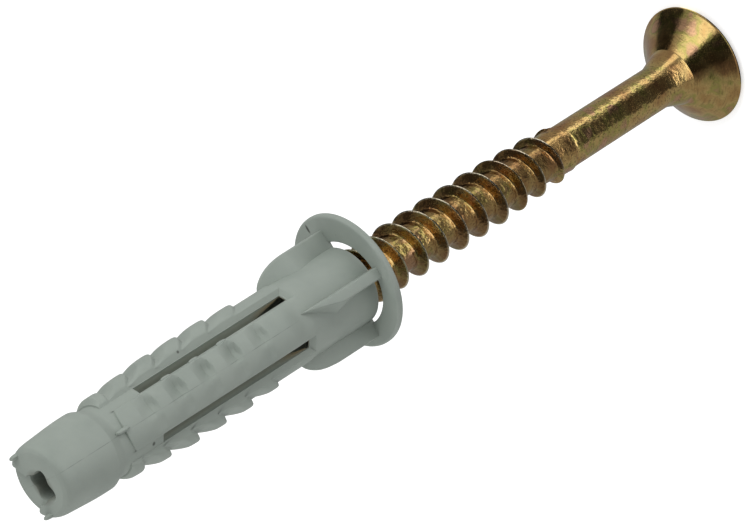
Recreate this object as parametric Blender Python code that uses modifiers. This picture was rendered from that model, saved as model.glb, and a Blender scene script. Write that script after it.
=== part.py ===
# A moulded nylon wall plug with its countersunk screw started in it, standing on the screw's flat head.
# Every piece is drawn about local Z, with the collar's seat at zero, the nose below and the head above.
# The frame empty then turns that upside down, with the head's top at the origin and a leg facing -Y.
import math

import bmesh
import bpy
from mathutils import Matrix, Vector

MM = 0.001

# Screw
SCREW_LENGTH = 60.0 * MM
SCREW_DEPTH = 9.3 * MM  # how far the point has gone in below the collar's seat
HEAD_RADIUS = 6.0 * MM
HEAD_HALF_ANGLE = math.radians(45.0)
HEAD_RIM = 0.25 * MM
HEAD_EDGE = 0.1 * MM
NECK_RADIUS = 2.9 * MM
NECK_LENGTH = 2.3 * MM
SHANK_RADIUS = 2.15 * MM
ROOT_RADIUS = 2.05 * MM
ROLLED_SWELL = 0.09 * MM  # the blank swells a little where the thread runs out
ROLLED_LENGTH = 3.0 * MM
THREAD_RADIUS = 3.0 * MM
THREAD_PITCH = 2.82 * MM
THREAD_LENGTH = 41.6 * MM
THREAD_CREST = 0.12 * MM
THREAD_HALF_ANGLE = math.radians(24.0)
THREAD_FADE = 8.0 * MM
THREAD_PHASE = math.radians(8.0)  # the angle about the axis at which the ridge starts
POINT_LENGTH = 8.0 * MM
POINT_RADIUS = 0.12 * MM

# Cross recess in the head
RECESS_DEPTH = 3.3 * MM
RECESS_RADIUS = 3.3 * MM
RECESS_FLOOR_RADIUS = 1.3 * MM
RECESS_WIDTH = 1.15 * MM
RECESS_CORE_RADIUS = 1.5 * MM
RECESS_CORE_FLOOR = 1.05 * MM
RECESS_TIP = 0.6 * MM  # the cone below the recess floor

# Plug: sleeve, bore and collar
PLUG_DEPTH = 40.0 * MM
THREAD_CLEARANCE = 0.3 * MM
SLEEVE_WALL = 0.55 * MM
SLEEVE_LENGTH = 8.5 * MM
SLEEVE_LIP = 0.9 * MM  # how far the sleeve reaches up the collar's hole
SLEEVE_CHAMFER = 0.4 * MM
SLEEVE_STEP = 0.43 * MM  # how far the sleeve stands proud of the core between the pads
COLLAR_RADIUS = 6.7 * MM
COLLAR_THICKNESS = 1.0 * MM
COLLAR_GAP = 0.45 * MM
COLLAR_BEVEL = 0.15 * MM
BORE_TAPER = 6.0 * MM
LEG_BORE_RADIUS = 1.7 * MM

# Plug: nose
NOSE_LENGTH = 7.1 * MM
NOSE_END_RADIUS = 3.1 * MM
NOSE_FRONT_RADIUS = 3.45 * MM
NOSE_SHOULDER = 0.45 * MM
NOSE_CHAMFER = 0.6 * MM
NOSE_ROUND = 0.9 * MM
NOSE_WALL = 3.5 * MM
NOSE_HOLE_RADIUS = 1.42 * MM
NOSE_HOLE_EAR = 0.22 * MM

# Plug: legs and their teeth
PAD_HEIGHT = 0.53 * MM
PAD_WIDTH = 4.04 * MM
PAD_GROOVE = 1.2 * MM  # the bare groove between the nose and the pads
SLOT_WIDTH = 0.9 * MM
SLOT_BRIDGE = 3.7 * MM  # the pads' front stretch, where the legs are still joined
LEG_ROOT = 3.8 * MM  # the smooth stretch between the sleeve and the first step
TOOTH_PITCH = 3.5 * MM
TOOTH_HEIGHT = 0.57 * MM
TOOTH_FIRST = 0.21  # the tooth by the nose has this share of the full height
TOOTH_GROWTH = 0.42  # what each next one gains
TOOTH_LAST = 0.65  # the share of the tooth by the collar
TOOTH_CREST = 1.7 * MM
TOOTH_DROP = 0.3 * MM
TOOTH_VALLEY = 0.2 * MM

# Plug: wings between the sleeve and the collar
WING_HEIGHT = 1.6 * MM
WING_THICKNESS = 1.08 * MM
WING_LEAD = 0.6 * MM  # how far the wings start beyond the sleeve, on the pads
WING_RAMP = 4.6 * MM
WING_SUNK = 0.5 * MM

# The four legs stand between two crossed slots
LEGS = 4
LEG_ANGLE = math.radians(45.0)

# Facets
ROUND_STEPS = 48
THREAD_STEPS = 32
SHARP_ANGLE = math.radians(30.0)

# Worked out from the sizes above
BORE_RADIUS = THREAD_RADIUS + THREAD_CLEARANCE
SLEEVE_RADIUS = BORE_RADIUS + SLEEVE_WALL
COLLAR_HOLE_RADIUS = SLEEVE_RADIUS + COLLAR_GAP
WING_RADIUS = SLEEVE_RADIUS + WING_HEIGHT
WING_LENGTH = SLEEVE_LENGTH + WING_LEAD
CORE_RADIUS = SLEEVE_RADIUS - SLEEVE_STEP
PAD_RADIUS = CORE_RADIUS + PAD_HEIGHT
NOSE_REAR_RADIUS = CORE_RADIUS + NOSE_SHOULDER
NOSE_REAR = -PLUG_DEPTH + NOSE_LENGTH
PAD_START = NOSE_REAR + PAD_GROOVE
SLOT_START = PAD_START + SLOT_BRIDGE
TEETH = int((-SLEEVE_LENGTH - LEG_ROOT - PAD_START) / TOOTH_PITCH) + 1
TIP = -SCREW_DEPTH
HEAD_TOP = TIP + SCREW_LENGTH
HEAD_CONE_END = HEAD_TOP - HEAD_RIM - (HEAD_RADIUS - NECK_RADIUS) / math.tan(HEAD_HALF_ANGLE)
THREAD_END = TIP + THREAD_LENGTH


def clear_scene():
    for old in list(bpy.data.objects):
        bpy.data.objects.remove(old, do_unlink=True)


def new_collection(name):
    collection = bpy.data.collections.new(name)
    bpy.context.scene.collection.children.link(collection)
    return collection


def new_material(name, colour, roughness, metallic):
    material = bpy.data.materials.new(name)
    material.use_nodes = True
    shader = material.node_tree.nodes["Principled BSDF"]
    shader.inputs["Base Color"].default_value = (*colour, 1.0)
    shader.inputs["Roughness"].default_value = roughness
    shader.inputs["Metallic"].default_value = metallic
    material.diffuse_color = (*colour, 1.0)
    return material


def as_cutter(obj):
    obj.hide_render = True
    obj.display_type = "WIRE"
    return obj


def mesh_object(name, mesh, collection):
    obj = bpy.data.objects.new(name, mesh)
    collection.objects.link(obj)
    return obj


def evaluated_mesh(obj):
    bpy.context.view_layer.update()
    graph = bpy.context.evaluated_depsgraph_get()
    return bpy.data.meshes.new_from_object(obj.evaluated_get(graph))


def apply_modifiers(obj):
    mesh = evaluated_mesh(obj)
    obj.modifiers.clear()
    obj.data = mesh
    return mesh


def turned(name, profile, collection, closed=False):
    # Revolves (radius, height) points about Z. The points run down the outer side.
    points = [Vector((radius, 0.0, height)) for radius, height in profile]
    edges = [(i, i + 1) for i in range(len(points) - 1)]
    if closed:
        edges.append((len(points) - 1, 0))
    mesh = bpy.data.meshes.new(name)
    mesh.from_pydata(points, edges, [])
    mesh.transform(Matrix.Rotation(math.pi / ROUND_STEPS, 4, "Z"))
    obj = mesh_object(name, mesh, collection)
    spin = obj.modifiers.new("spin", "SCREW")
    spin.axis = "Z"
    spin.angle = math.tau
    spin.steps = ROUND_STEPS
    spin.render_steps = ROUND_STEPS
    spin.use_merge_vertices = True
    spin.merge_threshold = 0.00001
    spin.use_smooth_shade = False
    return obj


def plate(name, outline, thickness, collection):
    # Extrudes a flat outline, given in the XZ plane, to both sides of that plane.
    curve = bpy.data.curves.new(name, "CURVE")
    curve.dimensions = "2D"
    curve.fill_mode = "BOTH"
    curve.extrude = thickness / 2
    spline = curve.splines.new("POLY")
    spline.points.add(len(outline) - 1)
    for point, (across, along) in zip(spline.points, outline):
        point.co = (across, along, 0.0, 1.0)
    spline.use_cyclic_u = True
    flat = bpy.data.objects.new(name, curve)
    collection.objects.link(flat)
    flat.matrix_world = Matrix.Rotation(math.pi / 2, 4, "X")
    mesh = evaluated_mesh(flat)
    mesh.transform(flat.matrix_world)
    bpy.data.objects.remove(flat, do_unlink=True)
    weld(mesh)
    mesh.name = name
    return mesh_object(name, mesh, collection)


def weld(mesh):
    work = bmesh.new()
    work.from_mesh(mesh)
    bmesh.ops.remove_doubles(work, verts=work.verts, dist=0.000001)
    bmesh.ops.recalc_face_normals(work, faces=work.faces)
    work.to_mesh(mesh)
    work.free()


def block(name, size, centre, collection):
    bpy.ops.mesh.primitive_cube_add(size=1.0)
    obj = bpy.context.object
    obj.name = name
    obj.data.transform(Matrix.Translation(centre) @ Matrix.Diagonal((*size, 1.0)))
    for owner in list(obj.users_collection):
        owner.objects.unlink(obj)
    collection.objects.link(obj)
    return obj


def turn_copy(obj, name, angle, collection):
    copy = mesh_object(name, obj.data.copy(), collection)
    copy.data.transform(Matrix.Rotation(angle, 4, "Z"))
    return copy


def boolean(obj, cutter, operation):
    step = obj.modifiers.new(cutter.name, "BOOLEAN")
    step.operation = operation
    step.solver = "EXACT"
    step.object = cutter


def finish(obj, material):
    # Round faces are shaded smooth up to the sharp edges.
    mesh = apply_modifiers(obj)
    mesh.materials.clear()
    mesh.materials.append(material)
    mesh.shade_smooth()
    mesh.set_sharp_from_angle(angle=SHARP_ANGLE)
    return obj


def arc(centre, radii, first, last, steps):
    # Points of an ellipse's arc, from one angle to another.
    angles = [first + (last - first) * i / steps for i in range(steps + 1)]
    return [
        (centre[0] + radii[0] * math.cos(a), centre[1] + radii[1] * math.sin(a)) for a in angles
    ]


def core_profile():
    # The sleeve, the bare core between the pads, and the nose with its rounded shoulder.
    chamfer_end = -SLEEVE_LENGTH
    shoulder = arc(
        (CORE_RADIUS, NOSE_REAR - NOSE_ROUND),
        (NOSE_REAR_RADIUS - CORE_RADIUS, NOSE_ROUND),
        math.pi / 2,
        0.0,
        4,
    )
    return [
        (0.0, SLEEVE_LIP),
        (SLEEVE_RADIUS, SLEEVE_LIP),
        (SLEEVE_RADIUS, chamfer_end + SLEEVE_CHAMFER),
        (CORE_RADIUS, chamfer_end),
        *shoulder,
        (NOSE_FRONT_RADIUS, -PLUG_DEPTH + NOSE_CHAMFER),
        (NOSE_END_RADIUS, -PLUG_DEPTH),
        (0.0, -PLUG_DEPTH),
    ]


def tooth_height(number):
    # The teeth, counted from the collar, grow over the first few from the nose.
    from_nose = TEETH - 1 - number
    share = min(1.0, TOOTH_FIRST + TOOTH_GROWTH * from_nose)
    if number == 0:
        share = TOOTH_LAST
    return share * TOOTH_HEIGHT


def toothed_profile():
    # Each tooth drops steeply on the collar's side and ramps down towards the nose.
    root = -SLEEVE_LENGTH + SLEEVE_CHAMFER
    points = [(0.0, root), (PAD_RADIUS, root)]
    for number in range(TEETH):
        step = -SLEEVE_LENGTH - LEG_ROOT - number * TOOTH_PITCH
        crest = PAD_RADIUS + tooth_height(number)
        points.append((PAD_RADIUS, step + TOOTH_DROP))
        points.append((crest, step))
        points.append((crest, step - TOOTH_CREST))
        points.append((PAD_RADIUS, step - TOOTH_PITCH + TOOTH_DROP + TOOTH_VALLEY))
    points[-1] = (PAD_RADIUS, PAD_START)
    points.append((0.0, PAD_START))
    return points


def make_legs(cutters):
    # A toothed barrel, kept only where two crossed bars as wide as the pads meet it.
    legs = as_cutter(turned("leg pads", toothed_profile(), cutters))
    reach = 4 * PAD_RADIUS
    height = -PAD_START
    bars = block("pad bars", (reach, PAD_WIDTH, height), (0.0, 0.0, -height / 2), cutters)
    bars.data.transform(Matrix.Rotation(LEG_ANGLE, 4, "Z"))
    crossing = as_cutter(turn_copy(bars, "crossing bars", math.pi / 2, cutters))
    boolean(as_cutter(bars), crossing, "UNION")
    boolean(legs, bars, "INTERSECT")
    return legs


def make_collar(cutters):
    ring = [
        (COLLAR_HOLE_RADIUS, COLLAR_THICKNESS),
        (COLLAR_RADIUS - COLLAR_BEVEL, COLLAR_THICKNESS),
        (COLLAR_RADIUS, COLLAR_THICKNESS - COLLAR_BEVEL),
        (COLLAR_RADIUS, COLLAR_BEVEL),
        (COLLAR_RADIUS - COLLAR_BEVEL, 0.0),
        (COLLAR_HOLE_RADIUS, 0.0),
    ]
    return as_cutter(turned("collar", ring, cutters, closed=True))


def make_wings(cutters):
    # Each wing stands in the middle of a leg.
    foot = SLEEVE_RADIUS - SLEEVE_WALL / 2
    ramp = arc(
        (foot, WING_RAMP - WING_LENGTH),
        (WING_RADIUS - foot, WING_RAMP),
        0.0,
        -math.pi / 2,
        6,
    )
    outline = [(foot, WING_SUNK), (WING_RADIUS, WING_SUNK), *ramp]
    wing = plate("wing 1", outline, WING_THICKNESS, cutters)
    wing.data.transform(Matrix.Rotation(LEG_ANGLE, 4, "Z"))
    wings = [as_cutter(wing)]
    for number in range(1, LEGS):
        angle = number * math.tau / LEGS
        wings.append(as_cutter(turn_copy(wing, f"wing {number + 1}", angle, cutters)))
    return wings


def make_slots(cutters):
    # Two crossed slots part the four legs.
    reach = 4 * PAD_RADIUS
    length = -SLEEVE_LENGTH - SLOT_START
    middle = SLOT_START + length / 2
    slots = []
    for number in range(LEGS // 2):
        slot = block(f"slot {number + 1}", (reach, SLOT_WIDTH, length), (0.0, 0.0, middle), cutters)
        slot.data.transform(Matrix.Rotation(number * math.tau / LEGS, 4, "Z"))
        slots.append(as_cutter(slot))
    return slots


def make_bore(cutters):
    # Wide for the thread in the sleeve, then tapering to a narrow bore between the legs.
    floor = -PLUG_DEPTH + NOSE_WALL
    profile = [
        (0.0, COLLAR_THICKNESS),
        (BORE_RADIUS, COLLAR_THICKNESS),
        (BORE_RADIUS, -SLEEVE_LENGTH),
        (LEG_BORE_RADIUS, -SLEEVE_LENGTH - BORE_TAPER),
        (LEG_BORE_RADIUS, floor),
        (0.0, floor - LEG_BORE_RADIUS / 2),
    ]
    return as_cutter(turned("bore", profile, cutters))


def make_nose_hole(cutters):
    # radius = mean + ear * cos(4 * angle), an ear in line with each slot
    outline = []
    for i in range(ROUND_STEPS):
        angle = math.tau * i / ROUND_STEPS
        radius = NOSE_HOLE_RADIUS + NOSE_HOLE_EAR * math.cos(LEGS * angle)
        outline.append((radius * math.cos(angle), radius * math.sin(angle)))
    length = 2 * NOSE_WALL
    hole = plate("nose hole", outline, length, cutters)
    hole.data.transform(Matrix.Rotation(math.pi / 2, 4, "X"))
    hole.data.transform(Matrix.Translation((0.0, 0.0, -PLUG_DEPTH)))
    return as_cutter(hole)


def make_plug(parts, cutters, material):
    plug = turned("wall_plug", core_profile(), parts)
    boolean(plug, make_legs(cutters), "UNION")
    for wing in make_wings(cutters):
        boolean(plug, wing, "UNION")
    boolean(plug, make_collar(cutters), "UNION")
    for slot in make_slots(cutters):
        boolean(plug, slot, "DIFFERENCE")
    boolean(plug, make_bore(cutters), "DIFFERENCE")
    boolean(plug, make_nose_hole(cutters), "DIFFERENCE")
    return finish(plug, material)


def core_radius(height):
    # The threaded core's radius: a cone at the point, then straight.
    share = (height - TIP) / POINT_LENGTH
    return POINT_RADIUS + (ROOT_RADIUS - POINT_RADIUS) * min(max(share, 0.0), 1.0)


def thread_height(height):
    # The ridge grows over the point and fades out before the shank.
    full = THREAD_RADIUS - ROOT_RADIUS
    grown = (height - TIP) / POINT_LENGTH
    left = (THREAD_END - height) / THREAD_FADE
    return full * min(max(min(grown, left), 0.0), 1.0)


def screw_profile():
    # The head, neck and shank, down to the swell where the thread runs out.
    rolled = SHANK_RADIUS + ROLLED_SWELL
    foot = THREAD_END - ROLLED_LENGTH
    return [
        (0.0, HEAD_TOP),
        (HEAD_RADIUS - HEAD_EDGE, HEAD_TOP),
        (HEAD_RADIUS, HEAD_TOP - HEAD_EDGE),
        (HEAD_RADIUS, HEAD_TOP - HEAD_RIM),
        (NECK_RADIUS, HEAD_CONE_END),
        (SHANK_RADIUS, HEAD_CONE_END - NECK_LENGTH),
        (SHANK_RADIUS, THREAD_END),
        (rolled, THREAD_END - ROLLED_SWELL),
        (rolled, foot),
        (ROOT_RADIUS / 2, foot - ROOT_RADIUS),
        (0.0, foot - ROOT_RADIUS),
    ]


def fit_radius(vertex):
    # Keeps the ridge's height over the core at each height, and shrinks both towards the point.
    radius = math.hypot(vertex.co.x, vertex.co.y)
    share = (radius - ROOT_RADIUS) / (THREAD_RADIUS - ROOT_RADIUS)
    fitted = core_radius(vertex.co.z) + share * thread_height(vertex.co.z)
    vertex.co.x *= fitted / radius
    vertex.co.y *= fitted / radius


def fan(work, edges, height):
    # Closes one end of a tube with faces to a point on the axis.
    centre = work.verts.new((0.0, 0.0, height))
    for edge in edges:
        work.faces.new((*edge.verts, centre))


def close_thread(mesh, bottom, top):
    work = bmesh.new()
    work.from_mesh(mesh)
    bmesh.ops.remove_doubles(work, verts=work.verts, dist=0.000001)
    ends = [edge for edge in work.edges if edge.is_boundary]
    upper = [edge for edge in ends if edge.verts[0].co.z > (bottom + top) / 2]
    lower = [edge for edge in ends if edge not in upper]
    for vertex in work.verts:
        fit_radius(vertex)
    fan(work, lower, bottom)
    fan(work, upper, top)
    bmesh.ops.recalc_face_normals(work, faces=work.faces)
    work.to_mesh(mesh)
    work.free()


def make_thread(cutters):
    # One pitch of the thread, root and ridge, screwed round the axis into a closed threaded core.
    crest_half = THREAD_CREST / 2
    foot_half = crest_half + (THREAD_RADIUS - ROOT_RADIUS) * math.tan(THREAD_HALF_ANGLE)
    section = [
        (ROOT_RADIUS, THREAD_PITCH / 2),
        (ROOT_RADIUS, foot_half),
        (THREAD_RADIUS, crest_half),
        (THREAD_RADIUS, -crest_half),
        (ROOT_RADIUS, -foot_half),
        (ROOT_RADIUS, -THREAD_PITCH / 2),
    ]
    start = TIP + THREAD_PITCH / 2
    turns = int(THREAD_LENGTH / THREAD_PITCH) - 1
    mesh = bpy.data.meshes.new("thread section")
    points = [Vector((radius, 0.0, start + height)) for radius, height in section]
    mesh.from_pydata(points, [(i, i + 1) for i in range(len(points) - 1)], [])
    thread = mesh_object("thread", mesh, cutters)
    spin = thread.modifiers.new("spin", "SCREW")
    spin.axis = "Z"
    spin.angle = math.tau
    spin.screw_offset = THREAD_PITCH
    spin.iterations = turns
    spin.steps = THREAD_STEPS
    spin.render_steps = THREAD_STEPS
    spun = apply_modifiers(thread)
    close_thread(spun, TIP, start + turns * THREAD_PITCH)
    spun.transform(Matrix.Rotation(THREAD_PHASE, 4, "Z"))
    return as_cutter(thread)


def make_recess(cutters):
    # Two crossed tapering blades round a tapering core.
    over = RECESS_DEPTH / 4
    slope = (RECESS_RADIUS - RECESS_FLOOR_RADIUS) / RECESS_DEPTH
    floor = HEAD_TOP - RECESS_DEPTH
    top = HEAD_TOP + over
    wide = RECESS_RADIUS + slope * over
    outline = [(-RECESS_FLOOR_RADIUS, floor), (RECESS_FLOOR_RADIUS, floor), (wide, top), (-wide, top)]
    blade = as_cutter(plate("recess blade", outline, RECESS_WIDTH, cutters))
    crossing = as_cutter(turn_copy(blade, "crossing blade", math.pi / 2, cutters))
    core = turned(
        "recess core",
        [
            (0.0, top),
            (RECESS_CORE_RADIUS, top),
            (RECESS_CORE_FLOOR, floor),
            (0.0, floor - RECESS_TIP),
        ],
        cutters,
    )
    return [blade, crossing, as_cutter(core)]


def make_screw(parts, cutters, material):
    screw = turned("screw", screw_profile(), parts)
    boolean(screw, make_thread(cutters), "UNION")
    for cutter in make_recess(cutters):
        boolean(screw, cutter, "DIFFERENCE")
    return finish(screw, material)


def main():
    clear_scene()
    parts = new_collection("wall plug with screw")
    cutters = new_collection("cutters")
    nylon = new_material("grey nylon", (0.33, 0.38, 0.34), 0.5, 0.0)
    zinc = new_material("yellow zinc", (0.55, 0.40, 0.18), 0.3, 1.0)
    plug = make_plug(parts, cutters, nylon)
    screw = make_screw(parts, cutters, zinc)
    frame = bpy.data.objects.new("frame", None)
    parts.objects.link(frame)
    frame.location = (0.0, 0.0, HEAD_TOP)
    frame.rotation_euler = (math.pi, 0.0, math.pi - LEG_ANGLE)
    for piece in [plug, screw, *cutters.objects]:
        piece.parent = frame


main()
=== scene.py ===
import math

import bmesh
import bpy
import numpy as np
from mathutils import Matrix, Vector


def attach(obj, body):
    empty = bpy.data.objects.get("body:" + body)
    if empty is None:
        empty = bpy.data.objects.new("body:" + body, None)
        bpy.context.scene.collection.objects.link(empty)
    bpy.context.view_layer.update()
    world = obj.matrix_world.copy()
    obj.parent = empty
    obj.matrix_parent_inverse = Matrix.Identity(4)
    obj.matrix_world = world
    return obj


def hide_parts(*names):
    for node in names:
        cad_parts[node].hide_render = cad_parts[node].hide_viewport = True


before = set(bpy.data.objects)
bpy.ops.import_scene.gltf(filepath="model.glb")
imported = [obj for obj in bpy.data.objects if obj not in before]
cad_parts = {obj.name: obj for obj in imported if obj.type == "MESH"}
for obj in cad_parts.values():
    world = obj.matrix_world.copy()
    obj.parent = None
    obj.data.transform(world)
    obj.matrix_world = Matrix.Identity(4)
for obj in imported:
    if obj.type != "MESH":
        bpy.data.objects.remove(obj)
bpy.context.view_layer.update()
print("frame loaded:", ", ".join(sorted(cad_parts)))

mm = 0.001
headTop = 50.7  # the head's flat top, on which the part stands
quarter = math.pi / 2  # of a turn


# helpers for grids
def place(along, turn, radius):
    # x = radius cos(turn), y = -radius sin(turn), z = headTop - along, in metres
    along, turn, radius = np.broadcast_arrays(along, turn, radius)
    return np.stack([radius * np.cos(turn), -radius * np.sin(turn), headTop - along], -1) * mm


def placeFlat(along, side, out, turn):
    # the same for a point "out" from the axis in direction turn and "side" across it
    along, side, out = np.broadcast_arrays(along, side, out)
    x = out * np.cos(turn) - side * np.sin(turn)
    y = -out * np.sin(turn) - side * np.cos(turn)
    return np.stack([x, y, headTop - along], -1) * mm


def gridFaces(rows, columns, closed=True):
    # quads of a rows by columns grid numbered row by row; closed joins the last column to the first
    row = np.arange(rows - 1)[:, None]
    column = np.arange(columns if closed else columns - 1)[None, :]
    after = (column + 1) % columns
    corners = [row * columns + column, row * columns + after,
               (row + 1) * columns + after, (row + 1) * columns + column]
    corners = [np.broadcast_to(corner, (rows - 1, column.shape[1])) for corner in corners]
    return np.stack(corners, -1).reshape(-1, 4)


def fanFaces(ring, centre):
    # triangles from a closed ring of point numbers to one centre point
    return np.stack([ring, np.roll(ring, -1), np.full(len(ring), centre)], -1)


def endFan(rows, columns):
    # triangles from a grid's last row to the point that comes after the grid
    return fanFaces(np.arange(columns) + (rows - 1) * columns, rows * columns)


def joinFaces(first, second):
    # quads between two lines of point numbers
    return np.stack([first[:-1], first[1:], second[1:], second[:-1]], -1)


def closingFaces(rows, columns):
    # quads from a closed grid's last row back to its first
    column = np.arange(columns)
    after = (column + 1) % columns
    last = (rows - 1) * columns
    return np.stack([column + last, after + last, after, column], -1)


def fromTable(table, place):
    # straight between a table's (place, value) pairs, whose places rise
    return np.interp(place, *np.array(table).T)


def smoothStep(value):
    # 0 up to 0, 1 from 1, and v * v * (3 - 2 * v) in between
    value = np.clip(value, 0.0, 1.0)
    return value * value * (3.0 - 2.0 * value)


def filleted(corners, steps=4):
    # each corner (along, radius, cut) gives way to the parabola that touches both its sides at the cut
    line = []
    for before, corner, after in zip([None] + corners[:-1], corners, corners[1:] + [None]):
        middle = np.array(corner[:2], float)
        cut = corner[2] if len(corner) > 2 else 0.0
        if before is None or after is None or cut == 0.0:
            line.append(middle[None])
            continue
        back = np.array(before[:2], float) - middle
        ahead = np.array(after[:2], float) - middle
        a = middle + back / np.linalg.norm(back) * min(cut, 0.49 * np.linalg.norm(back))
        b = middle + ahead / np.linalg.norm(ahead) * min(cut, 0.49 * np.linalg.norm(ahead))
        t = np.linspace(0.0, 1.0, steps + 1)[:, None]
        line.append((1 - t) ** 2 * a + 2 * t * (1 - t) * middle + t ** 2 * b)
    return np.concatenate(line)


def addObject(name, data):
    made = bpy.data.objects.new(name, data)
    bpy.context.scene.collection.objects.link(made)
    return made


def makePiece(name, shells, material, body, replaced, sharpAngle=32.0):
    # joins closed shells of (points, list of face arrays) into one object, welded and facing outward
    points, faces, start = [], [], 0
    for shellPoints, shellFaces in shells:
        points.append(shellPoints.reshape(-1, 3))
        for block in shellFaces:
            faces.extend((block + start).tolist())
        start += len(points[-1])
    mesh = bpy.data.meshes.new(name)
    mesh.from_pydata(np.concatenate(points).tolist(), [], faces)
    work = bmesh.new()
    work.from_mesh(mesh)
    bmesh.ops.remove_doubles(work, verts=work.verts, dist=0.0015 * mm)
    bmesh.ops.dissolve_degenerate(work, edges=work.edges, dist=0.0008 * mm)
    loose = [v for v in work.verts if not v.link_faces]
    bmesh.ops.delete(work, geom=loose, context="VERTS")
    bmesh.ops.recalc_face_normals(work, faces=work.faces)
    openEdges = sum(1 for e in work.edges if len(e.link_faces) != 2)
    work.to_mesh(mesh)
    work.free()
    mesh.shade_smooth()
    mesh.set_sharp_from_angle(angle=math.radians(sharpAngle))
    mesh.materials.append(material)
    piece = addObject(name, mesh)
    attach(piece, body)
    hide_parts(replaced)
    triangles = sum(len(p.vertices) - 2 for p in mesh.polygons)
    print(name, "made:", triangles, "triangles,", openEdges, "open or crossed edges")


# camera
cameraSet = {
    "aim": (0.0, 0.0, 49.9),  # mm, the point on the axis that the picture is laid out from
    "distance": 519.1,  # mm
    "lens": 273.6,
    "right": (-0.5397, -0.5207, -0.6616),
    "up": (0.8419, -0.3338, -0.4241),
    "forward": (0.0, 0.7859, -0.6184),
    "aimRight": -0.00421,  # where the aim lies beside the picture's centre, as a slope
    "aimUp": -0.003378,
    "azimuth": 4.2,  # degrees, because the plug is a little rolled in the photograph
}


def makeCamera(spec):
    around = Matrix.Rotation(math.radians(spec["azimuth"]), 3, "Z")
    right, up, forward = (around @ Vector(spec[k]).normalized() for k in ("right", "up", "forward"))
    data = bpy.data.cameras.new("studioCamera")
    data.lens = spec["lens"]
    data.sensor_width = 36.0
    data.clip_start = 0.01
    data.clip_end = 20.0
    camera = addObject("studioCamera", data)
    toAim = forward + right * spec["aimRight"] + up * spec["aimUp"]
    spot = (Vector(spec["aim"]) - toAim * spec["distance"]) * mm
    turned = Matrix((right, up, -forward)).transposed().to_4x4()
    camera.matrix_world = Matrix.Translation(spot) @ turned
    bpy.context.scene.camera = camera


makeCamera(cameraSet)
print("camera set")


# node helpers
def newMaterial(name):
    material = bpy.data.materials.new(name)
    material.use_nodes = True
    tree = material.node_tree
    return material, tree, tree.nodes["Principled BSDF"]


def noise(tree, scale, detail, roughness=0.55, stretch=(1.0, 1.0, 1.0), seed=0.0):
    # a noise on object coordinates, its scale in features a metre
    coordinates = tree.nodes.new("ShaderNodeTexCoord")
    mapping = tree.nodes.new("ShaderNodeMapping")
    mapping.inputs["Scale"].default_value = stretch
    mapping.inputs["Location"].default_value = (seed, seed * 0.7, seed * 1.3)
    texture = tree.nodes.new("ShaderNodeTexNoise")
    texture.inputs["Scale"].default_value = scale
    texture.inputs["Detail"].default_value = detail
    texture.inputs["Roughness"].default_value = roughness
    tree.links.new(coordinates.outputs["Object"], mapping.inputs["Vector"])
    tree.links.new(mapping.outputs["Vector"], texture.inputs["Vector"])
    return texture.outputs["Fac"]


def ramp(tree, source, stops):
    # a colour ramp through (position, colour) stops
    node = tree.nodes.new("ShaderNodeValToRGB")
    elements = node.color_ramp.elements
    while len(elements) < len(stops):
        elements.new(0.5)
    for element, (position, colour) in zip(elements, stops):
        element.position = position
        element.color = (*colour, 1.0)
    tree.links.new(source, node.inputs["Fac"])
    return node.outputs["Color"]


def setOrLink(tree, value, socket):
    # a number or colour is set on the socket, and another node's output is linked to it
    if isinstance(value, bpy.types.NodeSocket):
        tree.links.new(value, socket)
    else:
        socket.default_value = (*value, 1.0) if isinstance(value, tuple) else value


def remap(tree, source, low, high, newLow, newHigh):
    # newLow where the source is low, newHigh where it is high, and straight in between
    node = tree.nodes.new("ShaderNodeMapRange")
    for name, value in zip(("From Min", "From Max", "To Min", "To Max"), (low, high, newLow, newHigh)):
        setOrLink(tree, value, node.inputs[name])
    tree.links.new(source, node.inputs["Value"])
    return node.outputs["Result"]


def fade(tree, source, ends, first, last):
    # the same between two distances in mm
    return remap(tree, source, ends[0] * mm, ends[1] * mm, first, last)


def combine(tree, first, second, operation="MULTIPLY"):
    node = tree.nodes.new("ShaderNodeMath")
    node.operation = operation
    tree.links.new(first, node.inputs[0])
    tree.links.new(second, node.inputs[1])
    return node.outputs[0]


def mixColour(tree, share, first, second):
    # the first colour, with a share of the second
    node = tree.nodes.new("ShaderNodeMix")
    node.data_type = "RGBA"
    for number, value in ((0, share), (6, first), (7, second)):  # a Mix node's factor and colour sockets
        setOrLink(tree, value, node.inputs[number])
    return node.outputs[2]


def bump(tree, height, strength, distance, before=None):
    # leans the surface by a height, on top of the bump before it
    node = tree.nodes.new("ShaderNodeBump")
    setOrLink(tree, strength, node.inputs["Strength"])
    node.inputs["Distance"].default_value = distance * mm
    tree.links.new(height, node.inputs["Height"])
    if before is not None:
        tree.links.new(before, node.inputs["Normal"])
    return node.outputs["Normal"]


def distanceFrom(tree, point, counts):
    # how far a surface point lies from a place given in mm, in metres: the length of the difference,
    # with each axis counted so much
    coordinates = tree.nodes.new("ShaderNodeTexCoord")
    mapping = tree.nodes.new("ShaderNodeMapping")
    mapping.inputs["Scale"].default_value = counts
    mapping.inputs["Location"].default_value = [-p * mm * count for p, count in zip(point, counts)]
    length = tree.nodes.new("ShaderNodeVectorMath")
    length.operation = "LENGTH"
    tree.links.new(coordinates.outputs["Object"], mapping.inputs["Vector"])
    tree.links.new(mapping.outputs["Vector"], length.inputs[0])
    return length.outputs["Value"]


def overFloor(tree, middle=0.0):
    # the height over the floor, or how far that is from a middle
    return distanceFrom(tree, (0.0, 0.0, middle), (0.0, 0.0, 1.0))


def fromAxis(tree, shift=0.0):
    # the radius, from the axis or from one shifted in x
    return distanceFrom(tree, (shift, 0.0, 0.0), (1.0, 1.0, 0.0))


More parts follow.
